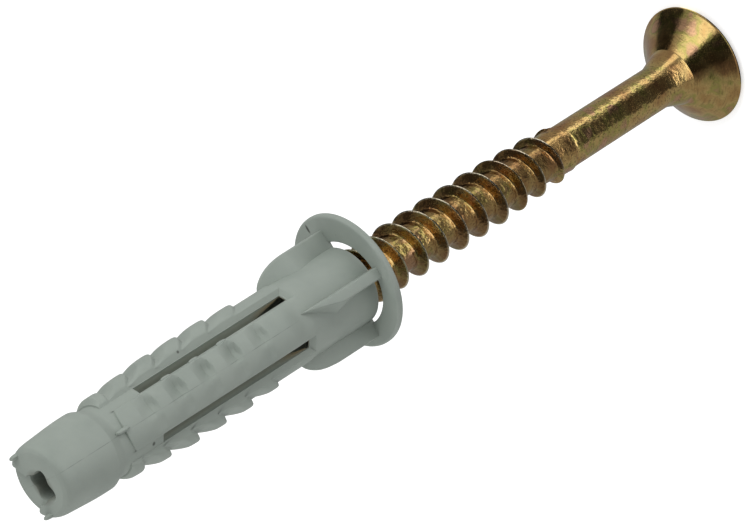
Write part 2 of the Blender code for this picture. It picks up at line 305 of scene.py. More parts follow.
# materials: lengths are in mm, heights are over the floor, and levels and shares go from 0 to 1
zincFinish = {
    "patches": {"scale": 360.0, "detail": 3.0, "roughness": 0.5},
    "colours": [(0.35, (0.60, 0.33, 0.135)), (0.44, (0.71, 0.45, 0.17)), (0.52, (0.82, 0.58, 0.225)),
                (0.58, (0.58, 0.50, 0.15)), (0.66, (0.76, 0.45, 0.25))],
    "pits": {"scale": 5200.0, "detail": 2.0, "roughness": 0.5, "seed": 3.0},
    "scratches": {"scale": 700.0, "detail": 3.0, "roughness": 0.6, "stretch": (1.0, 1.0, 14.0), "seed": 5.0},
    "darkLevels": (0.34, 0.46),  # of both noises: dark below the first, clear above the second
    "pitColour": (0.22, 0.13, 0.06),
    "pitShares": (0.25, 0.7),  # on the head, and on the rest
    "scratchShare": 0.35,
    "headEnd": (4.2, 6.0),  # where the smoother head ends
    "flankShadeColour": (0.20, 0.11, 0.045),
    "flankRadii": (2.0, 2.3),  # painted shade: from the root the flanks are coloured darker outward between these
    "flankShares": (0.4, 0.66),
    "flankEnd": (2.8, 2.93),  # and they end between these
    "threadFrom": (22.4, 23.4),  # where the flanks' painted shade and the crests' painted highlight set in
    "crestColour": (0.92, 0.84, 0.66),  # painted highlight: the crests are coloured brighter
    "crestRadii": (2.86, 2.94),
    "crestShare": 0.8,
    "runOut": (20.9, 28.7),  # where the crests get lower towards the shank
    "runOutDrop": (0.44, 0.02),
    "dulling": {"scale": 1100.0, "detail": 3.0, "roughness": 0.6, "seed": 7.0},
    "dullLevels": (0.3, 0.7),
    "roughness": (0.10, 0.24),
    "dents": {"scale": 1500.0, "detail": 3.0, "seed": 9.0},
    "dentStrengths": (0.12, 1.0),  # on the head, and on the rest
    "dentDepth": 0.1,
    "scratchBump": (0.2, 0.02),  # strength and depth
    "pitBump": (0.3, 0.012),
}


def makeZinc(spec):
    # golden chromate over zinc: patches of gold, olive and pink, dark pits and scratches round the axis,
    # painted shade on the thread's flanks and a painted highlight on its crests
    material, tree, shader = newMaterial("yellowZinc")
    pits = noise(tree, **spec["pits"])
    scratches = noise(tree, **spec["scratches"])
    height = overFloor(tree)
    radius = fromAxis(tree)
    colour = ramp(tree, noise(tree, **spec["patches"]), spec["colours"])
    pitShare = fade(tree, height, spec["headEnd"], *spec["pitShares"])
    for texture, share in ((pits, pitShare), (scratches, spec["scratchShare"])):
        dark = remap(tree, texture, *spec["darkLevels"], share, 0.0)
        colour = mixColour(tree, dark, colour, spec["pitColour"])
    # where the crests get lower, the radius counts as that much larger
    drop = fade(tree, height, spec["runOut"], *(d * mm for d in spec["runOutDrop"]))
    raised = combine(tree, radius, drop, "ADD")
    onThread = fade(tree, height, spec["threadFrom"], 0.0, 1.0)
    # painted shade: the thread's flanks are coloured darker
    flank = fade(tree, radius, spec["flankRadii"], *spec["flankShares"])
    flank = combine(tree, flank, fade(tree, raised, spec["flankEnd"], 1.0, 0.0))
    flank = combine(tree, flank, onThread)
    colour = mixColour(tree, flank, colour, spec["flankShadeColour"])
    # painted highlight: the thread's crests are coloured brighter
    crest = fade(tree, raised, spec["crestRadii"], 0.0, spec["crestShare"])
    crest = combine(tree, crest, onThread)
    colour = mixColour(tree, crest, colour, spec["crestColour"])
    tree.links.new(colour, shader.inputs["Base Color"])
    shader.inputs["Metallic"].default_value = 1.0
    dulling = noise(tree, **spec["dulling"])
    tree.links.new(remap(tree, dulling, *spec["dullLevels"], *spec["roughness"]), shader.inputs["Roughness"])
    dented = fade(tree, height, spec["headEnd"], *spec["dentStrengths"])
    normal = bump(tree, noise(tree, **spec["dents"]), dented, spec["dentDepth"])
    normal = bump(tree, scratches, *spec["scratchBump"], normal)
    normal = bump(tree, pits, *spec["pitBump"], normal)
    tree.links.new(normal, shader.inputs["Normal"])
    return material


nylonFinish = {
    "mottling": {"scale": 260.0, "detail": 4.0},
    "colours": [(0.3, (0.285, 0.325, 0.29)), (0.7, (0.335, 0.375, 0.335))],
    "seam": {"scale": 520.0, "detail": 2.0, "roughness": 0.5, "seed": 11.0},
    "seamLevels": (0.42, 0.56),
    "seamShares": (0.1, 0.55),
    "seamColour": (0.15, 0.17, 0.15),
    "seamHalf": (0.0225, 0.045),  # the parting line along the middle of two legs fades between these
    "seamFrom": (60.0, 60.3),  # clear of the wings
    "slotLightColour": (0.43, 0.46, 0.40),  # painted light: the slots' walls are coloured lighter, for light that comes through the legs
    "deepRadii": (3.1, 3.38),
    "deepMiddle": 70.0,  # halfway up the legs
    "deepReach": (11.0, 12.5),  # up and down from there
    "brassReflectionColour": (0.40, 0.29, 0.13),  # painted reflection: the slots' lower ends are tinted with the colour of the screw's point
    "brassTo": (59.5, 63.0),
    "holeShadeColour": (0.10, 0.095, 0.07),
    "holeShadeShare": 0.6,
    "holeRadii": (1.25, 1.85),  # painted shade: the nose's hole is coloured darker inward between these
    "holeShift": -0.42,
    "holeFrom": (84.0, 85.0),
    "speckColour": (0.05, 0.055, 0.045),
    "speckShare": 0.85,
    "specks": [  # place, reach, and how each axis counts
        ((3.3, -2.0, 72.1), 0.18, (1.0, 1.0, 1.0)),
        ((-2.33, -2.45, 79.67), 0.24, (1.0, 0.8, 1.0)),
        ((6.2, 1.05, 50.3), 0.2, (0.35, 1.0, 0.5)),
        ((4.6, -2.4, 50.3), 0.12, (1.0, 1.0, 0.5)),
        ((-4.55, -0.9, 50.75), 0.28, (0.45, 1.0, 1.0)),
    ],
    "roughness": (0.42, 0.58),
    "skin": {"scale": 2600.0, "detail": 3.0, "seed": 2.0},
    "skinBump": (0.25, 0.02),
}


def makeNylon(spec):
    # satin moulded nylon: slight mottling, a fine orange-peel skin, a broken parting line, a few specks,
    # painted light on the slots' walls and painted shade in the nose's hole
    material, tree, shader = newMaterial("greyNylon")
    height = overFloor(tree)
    mottling = noise(tree, **spec["mottling"])
    colour = ramp(tree, mottling, spec["colours"])
    # the parting line: near the plane x = 0, where the noise lets it through
    fromSeam = distanceFrom(tree, (0.0, 0.0, 0.0), (1.0, 0.0, 0.0))
    seam = fade(tree, fromSeam, spec["seamHalf"], 1.0, 0.0)
    broken = remap(tree, noise(tree, **spec["seam"]), *spec["seamLevels"], *spec["seamShares"])
    seam = combine(tree, seam, broken)
    seam = combine(tree, seam, fade(tree, height, spec["seamFrom"], 0.0, 1.0))
    colour = mixColour(tree, seam, colour, spec["seamColour"])
    # painted light on the slots' walls: lighter for light through the legs, tinted towards their lower ends
    # with the screw point's reflected colour
    deep = fade(tree, fromAxis(tree), spec["deepRadii"], 1.0, 0.0)
    fromMiddle = overFloor(tree, spec["deepMiddle"])
    deep = combine(tree, deep, fade(tree, fromMiddle, spec["deepReach"], 1.0, 0.0))
    clear = fade(tree, height, spec["brassTo"], 0.0, 1.0)
    slotLightColour = mixColour(tree, clear, spec["brassReflectionColour"], spec["slotLightColour"])
    colour = mixColour(tree, deep, colour, slotLightColour)
    # painted shade in the nose's hole
    fromHole = fromAxis(tree, spec["holeShift"])
    hole = fade(tree, fromHole, spec["holeRadii"], spec["holeShadeShare"], 0.0)
    hole = combine(tree, hole, fade(tree, height, spec["holeFrom"], 0.0, 1.0))
    colour = mixColour(tree, hole, colour, spec["holeShadeColour"])
    for point, reach, counts in spec["specks"]:
        fromSpeck = distanceFrom(tree, point, counts)
        speck = fade(tree, fromSpeck, (0.5 * reach, reach), spec["speckShare"], 0.0)
        colour = mixColour(tree, speck, colour, spec["speckColour"])
    tree.links.new(colour, shader.inputs["Base Color"])
    rough = remap(tree, mottling, spec["colours"][0][0], spec["colours"][1][0], *spec["roughness"])
    tree.links.new(rough, shader.inputs["Roughness"])
    skin = noise(tree, **spec["skin"])
    tree.links.new(bump(tree, skin, *spec["skinBump"]), shader.inputs["Normal"])
    return material


zinc = makeZinc(zincFinish)
nylon = makeNylon(nylonFinish)
print("materials made")


# screw
screwSpec = {
    "tip": -9.3,
    "tipLength": 0.12,  # the last bit of the point, closed by a fan
    "pitch": 2.82,
    "crestAlong": 7.22,  # where a crest crosses turn 0
    "crestHalf": 0.05,
    "flankAngle": 24.0,
    "rootFillet": 0.1,  # as shares of the ridge's height
    "rootSink": 0.01,
    "crestRadii": [(-9.3, 0.12), (-1.3, 3.0), (20.0, 3.0), (22.0, 2.92), (26.0, 2.78), (28.2, 2.68),
                   (29.8, 2.5), (29.97, 2.28)],
    "rootRadii": [(-9.3, 0.12), (-1.3, 2.05), (27.0, 2.05), (28.8, 2.22), (29.7, 2.28)],
    "threadTop": 30.0,
    "besideCrest": [0.0, 0.03, 0.07, 0.13, 0.2, 0.3, 0.38, 0.44, 0.5, 0.58, 0.7, 0.9, 1.15, 1.41],
    "columns": 96,
    "upper": [(30.0, 2.28), (30.35, 2.32, 0.08), (30.5, 2.09, 0.05), (30.75, 2.11, 0.08), (30.95, 2.17, 0.1),
              (44.9, 2.15, 0.45), (47.2, 2.9, 0.06), (50.2, 5.94, 0.06), (50.3, 6.0, 0.04),
              (50.42, 6.0, 0.06), (50.7, 5.72, 0.1), (50.7, 5.3), (50.7, 4.6)],
    "recess": {
        "top": {"arm": 3.3, "width": 0.575, "core": 1.5},
        "floor": {"arm": 1.3, "width": 0.46, "core": 1.05},
        "armRound": 0.16,
        "armEnd": [(0.06, 0.86), (0.01, 0.55), (0.0, 0.25), (0.0, 0.0)],  # how short, and share of the width
        "depth": 3.3,
        "cone": 0.6,
        "rim": 0.06,
        "bevel": 0.05,
        "wallShares": (0.05, 0.95, 7),  # from, to, and how many rows
    },
}


def threadRadius(spec, along, turn):
    # radius = root + ridge, where the ridge falls off on both sides of the crest's helix and is
    # rounded at its crest and in its root; both grow over the point and fade before the shank
    phase = (along - spec["crestAlong"]) / spec["pitch"] - turn / math.tau
    offset = (phase - np.round(phase)) * spec["pitch"]
    root = fromTable(spec["rootRadii"], along)
    height = np.maximum(fromTable(spec["crestRadii"], along) - root, 0.0)
    slope = 1.0 / math.tan(math.radians(spec["flankAngle"]))
    half = spec["crestHalf"]
    ridge = height - slope * (np.sqrt(offset ** 2 + half ** 2) - half)
    fillet = spec["rootFillet"] * height
    return root + 0.5 * (ridge + np.sqrt(ridge ** 2 + fillet ** 2)) - spec["rootSink"] * height


def makeThread(spec):
    # a strip one pitch wide wound along the helix: along = turns * pitch + share of the pitch,
    # held between the point's ring and the top ring, with columns packed beside the crest
    half = np.array(spec["besideCrest"])
    across = np.concatenate([-half[:0:-1], half])
    columns, pitch = spec["columns"], spec["pitch"]
    bottom = spec["tip"] + spec["tipLength"]
    firstTurn = math.floor((bottom - spec["crestAlong"]) / pitch) - 1
    lastTurn = math.ceil((spec["threadTop"] - spec["crestAlong"]) / pitch) + 1
    steps = np.arange((lastTurn - firstTurn) * columns + 1)
    turns = firstTurn + steps / columns
    along = spec["crestAlong"] + turns[:, None] * pitch + across[None, :]
    along = np.clip(along, bottom, spec["threadTop"])
    turn = (steps % columns)[:, None] * math.tau / columns
    points = place(along, turn, threadRadius(spec, along, turn))
    faces = gridFaces(len(steps), len(across), closed=False)
    # the fan that closes the point
    ringTurn = np.arange(columns) * math.tau / columns
    ring = place(bottom, ringTurn, threadRadius(spec, np.full(columns, bottom), ringTurn))
    tip = np.concatenate([ring, place(spec["tip"], 0.0, 0.0)[None]])
    return [(points, [faces]), (tip, [endFan(1, columns)])]


def crossOutline(spec, arm, width, core):
    # radius and turn of a cross with four arms round a round core, each quarter an arm: half of it runs
    # on the core's circle, out along the arm's side and round its end, and the other half mirrors it
    angles = np.linspace(math.radians(45.0), math.asin(width / core), 5)
    foot = core * math.cos(angles[-1])
    short, shares = np.array(spec["armEnd"]).T
    along = foot + (arm - spec["armRound"] - foot) * np.linspace(0.25, 1.0, 4)
    out = np.concatenate([core * np.cos(angles), along, arm - short])
    side = np.concatenate([core * np.sin(angles), np.full(4, width), width * shares])
    out, side = np.concatenate([out, out[-2:0:-1]]), np.concatenate([-side, side[-2:0:-1]])
    turn = np.arange(4)[:, None] * quarter
    x = out * np.cos(turn) - side * np.sin(turn)
    y = out * np.sin(turn) + side * np.cos(turn)
    x, y = x.ravel(), y.ravel()
    return np.hypot(x, y), np.arctan2(y, x)


def makeHead(spec):
    # a profile turned about the axis, whose last ring on the flat top gives way to the cross recess:
    # rows run down its walls as the outline shrinks evenly to the floor's, and end in a shallow cone
    columns = spec["columns"]
    turn = np.arange(columns) * math.tau / columns
    rows = [place(a, turn, r) for a, r in filleted(spec["upper"])]
    cut = spec["recess"]
    topRadius, topTurn = crossOutline(cut, **cut["top"])
    floorRadius, floorTurn = crossOutline(cut, **cut["floor"])
    top = place(headTop, topTurn, topRadius)
    floor = place(headTop - cut["depth"], floorTurn, floorRadius)
    wide = place(headTop, topTurn, topRadius + cut["rim"])
    # the outline's first column goes where the turned rings have that turn
    shift = int(round(math.atan2(-top[0, 1], top[0, 0]) / (math.tau / columns)))
    top, floor, wide = (np.roll(ring, shift, axis=0) for ring in (top, floor, wide))
    edge = top.copy()
    edge[:, 2] += cut["bevel"] * mm
    rows += [wide, edge]
    rows += [edge + (floor - edge) * share for share in np.linspace(*cut["wallShares"])]
    rows.append(floor)
    centre = place(headTop - cut["depth"] - cut["cone"], 0.0, 0.0)[None]
    return [(np.concatenate(rows + [centre]), [gridFaces(len(rows), columns), endFan(len(rows), columns)])]


makePiece("woodScrew", makeThread(screwSpec) + makeHead(screwSpec), zinc, "screw", "screw")


# plug
plugSpec = {
    "nose": [(-32.22, 3.42), (-32.55, 3.42, 0.2), (-33.0, 3.56, 0.3), (-33.7, 3.85, 0.1), (-35.5, 3.84, 1.0),
             (-39.3, 3.58, 0.6), (-39.8, 3.38, 0.15), (-40.0, 3.02, 0.06), (-40.0, 2.7)],
    "endStep": 0.62,  # how much lower a quarter of the nose's end is
    "endFade": [(-39.8, 1.0), (-39.2, 0.0)],
    "coreRadius": 3.42,
    "slotStart": -27.9,
    "slotEnd": -8.58,
    "slotHalf": 0.45,
    "slotShares": [0.25, 0.5, 0.75],  # the columns across a slot
    # the sleeve, whose lip reaches past the collar's seat
    "lip": 0.32,
    "sleeveRadius": 3.85,
    "sleeveStep": -8.1,
    "sleeveEnd": -8.5,
    "sleeveRows": (-4.0, -0.5, 4),  # from, to, and how many
    "baseRows": [-8.9, -9.6, -10.6, -11.4],
    # the pads on the four legs
    "padRadii": [(-32.0, 3.60), (-27.5, 3.72), (-22.5, 3.86), (-18.0, 3.95)],  # their backs thin to the nose
    "padHalf": 2.02,
    "padTop": -8.05,  # from here to the nose the pads stand on the base
    "padStart": -31.7,
    "padEnd": [(0.12, 1.0), (0.03, 0.97), (0.0, 0.86), (-0.01, 0.5), (-0.02, 0.0)],  # along, share of height
    "padEdge": 0.14,
    "padClear": 0.3,  # no tooth comes nearer to a pad's end
    "crestShares": [0.0, 0.12, 0.24, 0.36, 0.48, 0.6, 0.72, 0.84, 0.93, 0.98, 1.0],  # from middle to edge
    "edgeFrom": 0.84,  # the share from which the crest's edge is rounded
    # the outer legs' teeth
    "toothPitch": 3.5,
    "firstTooth": -12.62,
    "crests": [4.33, 4.52, 4.52, 4.52, 4.30, 4.06],  # the teeth's radii from the collar to the nose
    "toothShape": [  # along, and the share of the height on the upper leg and on the lower leg
        (0.42, 0.0, 0.0), (0.33, 0.0, 0.0), (0.30, 0.03, 0.02), (0.26, 0.13, 0.45), (0.20, 0.36, 0.86),
        (0.12, 0.66, 0.95), (0.05, 0.87, 0.99), (-0.02, 0.96, 1.0), (-0.12, 0.99, 1.0), (-0.5, 1.02, 1.0),
        (-0.85, 1.02, 0.98), (-0.95, 1.02, 0.93), (-1.1, 1.01, 0.80), (-1.5, 0.98, 0.44),
        (-1.72, 0.94, 0.24), (-1.85, 0.88, 0.13), (-2.0, 0.72, 0.05), (-2.2, 0.54, 0.01),
        (-2.6, 0.22, 0.0), (-2.85, 0.04, 0.0), (-3.0, 0.0, 0.0),
    ],
    "toothCrown": 0.8,
    "drawBack": 1.7,  # how far a tooth draws back at its edges
    "drawFade": [(-32.0, 0.0), (-27.0, 1.0), (-11.5, 1.0), (-9.2, 0.0)],
    # the facing legs, which have scoops in a low crown
    "facingHeights": [(-32.0, 0.0), (-30.5, 0.15), (-27.0, 0.5), (-10.5, 0.5), (-9.5, 0.0)],
    "facingCrown": 0.45,
    "straighten": 0.5,  # how much less far such a pad reaches at its edges
    "straightFade": [(-32.4, 0.0), (-31.7, 1.0), (-29.2, 0.0)],
    "scoopDepths": [0.0, 0.62, 0.74, 0.78, 0.78, 0.6],  # from the collar to the nose
    "scoopStart": 0.5,  # how far beyond its tooth's end a scoop starts
    "scoopLength": 1.6,
    "scoopWall": (1.75, 0.4, 0.3),  # where its end wall starts, how long it is, and how round
    "scoopSides": [(-0.75, 1.1, 1.0), (0.95, 0.85, 0.3)],  # middle, half width, share of the depth
    "scoopBlunt": 0.75,
    # the bore
    "boreRadius": 3.3,
    "legBore": 1.7,
    "taperEnd": -14.5,
    "holeRadius": 1.52,
    "holeShift": -0.42,  # how far the nose's hole sits off the axis, towards turn 0
    "holeEar": 0.28,
    "holeRows": [(-40.0, 0.08), (-39.85, 0.0), (-39.0, 0.0), (-36.9, 0.0)],  # along, and how much wider
    "legRows": [-36.5, -33.0, -30.0],
    "mouthRows": [(-8.45, 0.0), (-4.0, 0.0), (0.17, 0.0), (0.32, 0.1)],
    # the wings, where a list says it leg by leg
    "wingRadii": [5.62, 5.45, 5.45, 5.45],
    "wingSides": (-0.4, 0.7),  # across the leg's middle plane
    "wingStarts": [-8.8, -9.1, -9.25, -9.1],
    "wingEnd": 0.6,
    "wingRoot": 0.45,  # how deep a wing sits in the sleeve
    "wingRamp": 4.6,
    "wingThickens": 4.1,
    "wingEdge": (0.14, 0.45),  # its rounding, and the most of the wing that it takes
    "wingBow": 0.75,  # how much further the slanting side reaches at its foot
    "bowEnd": -1.0,
    "bowRest": 0.03,
    "facingBow": [(-5.1, 0.75), (-3.0, 0.12), (0.6, 0.06)],
    "wingCentre": (0.27, 0.5),  # side, and out from the foot
    # the collar
    "collarRadius": 6.7,
    "collarHole": (4.22, 4.68),  # half widths of its oval hole, across and towards the camera
    "collarShift": (0.1, 0.37),  # how far its hole and its rim sit off the axis, towards turn 0
    "collarFaces": (0.38, 1.1),
    "collarTilt": 3.8,  # degrees, its camera side leans towards the nose
    "collarColumns": 120,
    # the gate's nib and two horns of flash: along, side, out, turn, and half the length, width and height
    "lumps": [(-31.95, -0.18, 3.5, quarter, 0.75, 0.24, 0.5), (-39.7, -1.0, 2.98, 0.0, 0.8, 0.5, 0.26),
              (-39.7, 1.0, 2.98, math.pi, 0.8, 0.5, 0.26)],
    # bumps nearer to the collar than three teeth's ends, sunk into the facing pad's edge
    "bumps": {"teeth": (2, 3, 4), "nearer": 1.72, "edge": 0.13, "sunk": 0.07, "beside": 0.02,
              "size": (0.6, 0.2, 0.16)},
}


def padRadius(spec, along):
    return float(fromTable(spec["padRadii"], along))


def toothStep(spec, number):
    # where a tooth ends, counted from the collar
    return spec["firstTooth"] - spec["toothPitch"] * number


def toothStations(spec):
    # the rows over each tooth: along, height on the upper leg, height on the lower leg. The upper leg's
    # teeth rise early and have a long crest, and the lower leg's have a flat valley between them
    rows = []
    for number, crest in enumerate(spec["crests"]):
        step = toothStep(spec, number)
        rise = crest - padRadius(spec, step)
        rows += [(step + a, rise * upper, rise * lower) for a, upper, lower in spec["toothShape"]]
    return rows


def scoopDepth(spec, along, side):
    # a scoop deepens evenly from its tooth's end and stops at a steep round wall: its depth is
    # a straight drop, cut off by a short smooth step, times a blunted parabola across
    depth = np.zeros_like(side)
    wall, length, bulge = spec["scoopWall"]
    for number, deep in enumerate(spec["scoopDepths"]):
        offset = along - toothStep(spec, number) - spec["scoopStart"]
        drop = np.clip(offset / spec["scoopLength"], 0.0, 1.0)
        for middle, half, share in spec["scoopSides"]:
            across = np.clip(1.0 - ((side - middle) / half) ** 2, 0.0, 1.0)
            shape = drop * (1.0 - smoothStep((offset + bulge * (1.0 - across) - wall) / length))
            depth = np.maximum(depth, deep * share * shape * across ** spec["scoopBlunt"])
    return depth


def bodyRows(spec):
    # the outer rows from the sleeve's mouth to the nose's end: along, base radius, the pad's height
    # over the base, and the teeth's height over the pad on the upper and on the lower leg
    core, sleeve, pad = spec["coreRadius"], spec["sleeveRadius"], padRadius(spec, 0.0)
    lip, start = spec["lip"], spec["padStart"]
    mouth = filleted([(lip, sleeve - 0.25), (lip, sleeve, 0.08), (spec["sleeveStep"], sleeve, 0.1),
                      (spec["sleeveEnd"], core, 0.1), (spec["firstTooth"], core)], 3)
    rows = [(a, r, pad - r if a <= spec["padTop"] else 0.0, 0.0, 0.0) for a, r in mouth[:-1]]
    rows += [(a, sleeve, 0.0, 0.0, 0.0) for a in np.linspace(*spec["sleeveRows"])]
    rows += [(a, core, pad - core, 0.0, 0.0) for a in spec["baseRows"]]
    for a, upper, lower in toothStations(spec):
        if a > start + spec["padClear"]:
            rows.append((a, core, padRadius(spec, a) - core, upper, lower))
    rows.sort(key=lambda row: -row[0])
    last = padRadius(spec, start) - core
    rows += [(start + a, core, last * share, 0.0, 0.0) for a, share in spec["padEnd"]]
    rows += [(a, r, 0.0, 0.0, 0.0) for a, r in filleted(spec["nose"])[1:]]
    return np.array(rows)


def halfLeg(spec, row, leg, side, slotEdge):
    # turn, radius and drawing back of half a leg's columns: crest, side wall and bare base. The crest's
    # edge is a plane padHalf from the leg's middle. Legs 1 and 3, towards the camera and away from it,
    # have scoops. The others have teeth like tongues, crowned, with ends that draw back at their edges
    along, base, pad, upper, lower = row
    shares = np.array(spec["crestShares"])
    if leg % 2 == 1:
        full = fromTable(spec["facingHeights"], along)
        stands = full * (1.0 - spec["facingCrown"] * shares ** 2)
        if full > 0.0:
            stands = stands - scoopDepth(spec, along, side * shares * spec["padHalf"])
        back = -spec["straighten"] * fromTable(spec["straightFade"], along) * shares ** 2
    else:
        stands = (lower if leg == 2 else upper) * (1.0 - spec["toothCrown"] * shares ** 2)
        back = spec["drawBack"] * fromTable(spec["drawFade"], along) * (1.0 - np.cos(quarter * shares))
    height = pad + stands
    edge = min(spec["padEdge"], 0.5 * float(height[-1]))
    near = np.clip((shares - spec["edgeFrom"]) / (1.0 - spec["edgeFrom"]), 0.0, 1.0)
    crest = base + height - edge * (1.0 - np.sqrt(1.0 - near ** 2))
    # both edges keep off the slot, the crest's a little more
    crestEdge = min(math.asin(spec["padHalf"] / crest[-1]), slotEdge - 0.02)
    footEdge = min(math.asin(spec["padHalf"] / base), slotEdge - 0.01)
    down = np.linspace(0.0, 1.0, 4)[1:]
    wallOut = crest[-1] * math.cos(crestEdge) * (1 - down) + base * math.cos(footEdge) * down
    wallSide = crest[-1] * math.sin(crestEdge) * (1 - down) + base * math.sin(footEdge) * down
    turns = [shares * crestEdge, np.arctan2(wallSide, wallOut), [0.5 * (footEdge + slotEdge), slotEdge]]
    radii = [crest, np.hypot(wallOut, wallSide), [base, base]]
    backs = [back, back[-1] * (1 - down), [0.0, 0.0]]
    return np.concatenate(turns), np.concatenate(radii), np.concatenate(backs)


def outerRing(spec, row):
    # one row of the outside, a quarter after another: two half legs and the slot's strip, whose edges
    # are planes slotHalf from the diagonal
    along, base = row[:2]
    slotEdge = quarter / 2 - math.asin(spec["slotHalf"] / base)
    strip = slotEdge + 2 * (quarter / 2 - slotEdge) * np.array(spec["slotShares"])
    alongs, turns, radii = [], [], []
    for leg in range(4):
        turnA, radiusA, backA = halfLeg(spec, row, leg, -1.0, slotEdge)
        turnB, radiusB, backB = halfLeg(spec, row, leg, 1.0, slotEdge)
        turns.append(np.concatenate([-turnA[:0:-1], turnB, strip]) + leg * quarter)
        radii.append(np.concatenate([radiusA[:0:-1], radiusB, np.full(len(strip), base)]))
        alongs.append(along - np.concatenate([backA[:0:-1], backB, np.zeros(len(strip))]))
    alongs = np.concatenate(alongs)
    return place(alongs + endDrop(spec, along, len(alongs)), np.concatenate(turns), np.concatenate(radii))


def endDrop(spec, along, columns):
    # how much lower each column lies at the nose's end, where a quarter of it is moulded lower
    number = np.arange(columns)
    perQuarter = columns // 4
    inQuarter = (number >= 3 * perQuarter - 2) & (number < 4 * perQuarter - 1)
    return spec["endStep"] * fromTable(spec["endFade"], along) * inQuarter


def innerRing(spec, along, radius, ear=0.0, shift=0.0):
    # one row of the bore with the same columns: even steps between the slots' edges. The nose's hole
    # has four ears, radius - ear * cos(4 turn), and is shifted sideways
    slotEdge = quarter / 2 - math.asin(spec["slotHalf"] / radius)
    half = np.linspace(0.0, slotEdge, len(spec["crestShares"]) + 5)
    strip = slotEdge + 2 * (quarter / 2 - slotEdge) * np.array(spec["slotShares"])
    one = np.concatenate([-half[:0:-1], half, strip])
    turn = (np.arange(4)[:, None] * quarter + one).ravel()
    ring = place(along + endDrop(spec, along, len(turn)), turn, radius - ear * np.cos(4 * turn))
    ring[:, 0] += shift * mm
    return ring


def boreRadius(spec, along):
    # wide for the thread in the sleeve, then tapering to a narrow bore between the legs
    return np.interp(along, [spec["taperEnd"], spec["sleeveEnd"]], [spec["legBore"], spec["boreRadius"]])


def makeBody(spec):
    # rows run from the sleeve's mouth down the outside to the nose's end, through the nose's hole and
    # back up the bore, so the grid closes on itself both ways; the slots' strips are left out of the
    # outside and the bore, and walls between the same rows and columns of both close them again
    outer = bodyRows(spec)
    first = int(np.argmin(np.abs(outer[:, 0] - spec["slotEnd"])))
    last = int(np.argmin(np.abs(outer[:, 0] - spec["slotStart"])))
    rings = [outerRing(spec, row) for row in outer]
    for a, wider in spec["holeRows"]:
        rings.append(innerRing(spec, a, spec["holeRadius"] + wider, spec["holeEar"], spec["holeShift"]))
    rings += [innerRing(spec, a, spec["legBore"]) for a in spec["legRows"]]
    innerLast = len(rings)
    rings += [innerRing(spec, a, boreRadius(spec, a)) for a in outer[first:last + 1, 0][::-1]]
    innerFirst = len(rings) - 1
    rings += [innerRing(spec, a, spec["boreRadius"] + wider) for a, wider in spec["mouthRows"]]
    rows, columns = len(rings), len(rings[0])
    perQuarter = columns // 4
    slotSteps = len(spec["slotShares"]) + 1
    strip = np.arange(columns) % perQuarter >= perQuarter - slotSteps
    starts = np.arange(rows - 1)
    slotted = ((starts >= first) & (starts < last)) | ((starts >= innerLast) & (starts < innerFirst))
    faces = gridFaces(rows, columns).reshape(rows - 1, columns, 4)[~(slotted[:, None] & strip[None, :])]
    walls = []
    outerIndex = np.arange(first, last + 1) * columns
    innerIndex = (innerFirst - np.arange(last - first + 1)) * columns
    for leg in range(4):
        edges = [(leg + 1) * perQuarter - slotSteps, ((leg + 1) * perQuarter) % columns]
        walls += [joinFaces(outerIndex + edge, innerIndex + edge) for edge in edges]
        across = (np.arange(slotSteps + 1) + edges[0]) % columns
        for outerRow, innerRow in ((first, innerFirst), (last, innerLast)):
            walls.append(joinFaces(outerRow * columns + across, innerRow * columns + across))
    return np.concatenate(rings), [faces, closingFaces(rows, columns)] + walls


def makeWing(spec, leg):
    # a section carried along the axis while its top rises over a quarter ellipse:
    # out = foot + rise * sin(t), along = rampEnd - ramp * cos(t). One side is a plane; the other
    # starts on it and slants out to the full thickness, further at the foot, as a bow does
    foot = spec["sleeveRadius"] - spec["wingRoot"]
    turn = leg * quarter
    rim, start, end = spec["wingRadii"][leg], spec["wingStarts"][leg], spec["wingEnd"]
    near, far = spec["wingSides"]
    t = np.linspace(0.0, quarter, 19)
    rampEnd = start + spec["wingRamp"]
    along = np.append(rampEnd - spec["wingRamp"] * np.cos(t), np.linspace(rampEnd, end, 12)[1:])[:, None]
    top = np.append(foot + (rim - foot) * np.sin(t), np.full(11, rim))[:, None]
    head = near + (far - near) * np.clip((along - start) / spec["wingThickens"], 0.0, 1.0)
    if leg == 1:
        bow = fromTable([(start, 0.0)] + spec["facingBow"], along)
    else:
        share = np.clip((along - start) / (spec["bowEnd"] - start), 0.0, 1.0)
        bow = spec["bowRest"] * share + spec["wingBow"] * np.sin(math.pi * share) ** 2
    rounding, most = spec["wingEdge"]
    edge = np.minimum(np.minimum(rounding, most * (top - foot)), most * (head - near))
    bend = np.linspace(0.0, quarter, 5)
    slow, fast = edge * (1 - np.cos(bend)), edge * (1 - np.sin(bend))
    side = np.concatenate([np.full_like(head, near), near + slow, head - fast, head + bow], 1)
    out = np.concatenate([np.full_like(top, foot), top - fast, top - slow, np.full_like(top, foot)], 1)
    points = placeFlat(along, side, out, turn)
    beside, over = spec["wingCentre"]
    middle = placeFlat(end, beside, foot + over, turn)[None]
    rows, columns = out.shape
    return np.concatenate([points.reshape(-1, 3), middle]), [gridFaces(rows, columns), endFan(rows, columns)]


def makeLump(along, side, out, turn, halfAlong, halfSide, halfOut):
    # a small blunt bean: along goes as a sphere's sine, side and out as the root of its cosine
    rows, columns = 9, 18
    height = np.linspace(-quarter, quarter, rows + 2)[1:-1, None]
    around = np.arange(columns) * math.tau / columns
    girth = np.cos(height) ** 0.5
    points = placeFlat(along + halfAlong * np.sin(height), side + halfSide * girth * np.cos(around),
                       out + halfOut * girth * np.sin(around), turn).reshape(-1, 3)
    ends = placeFlat(np.array([along - halfAlong, along + halfAlong]), side, out, turn)
    ring, count = np.arange(columns), rows * columns
    caps = [fanFaces(ring, count), fanFaces(ring + count - columns, count + 1)]
    return np.concatenate([points, ends]), [gridFaces(rows, columns)] + caps


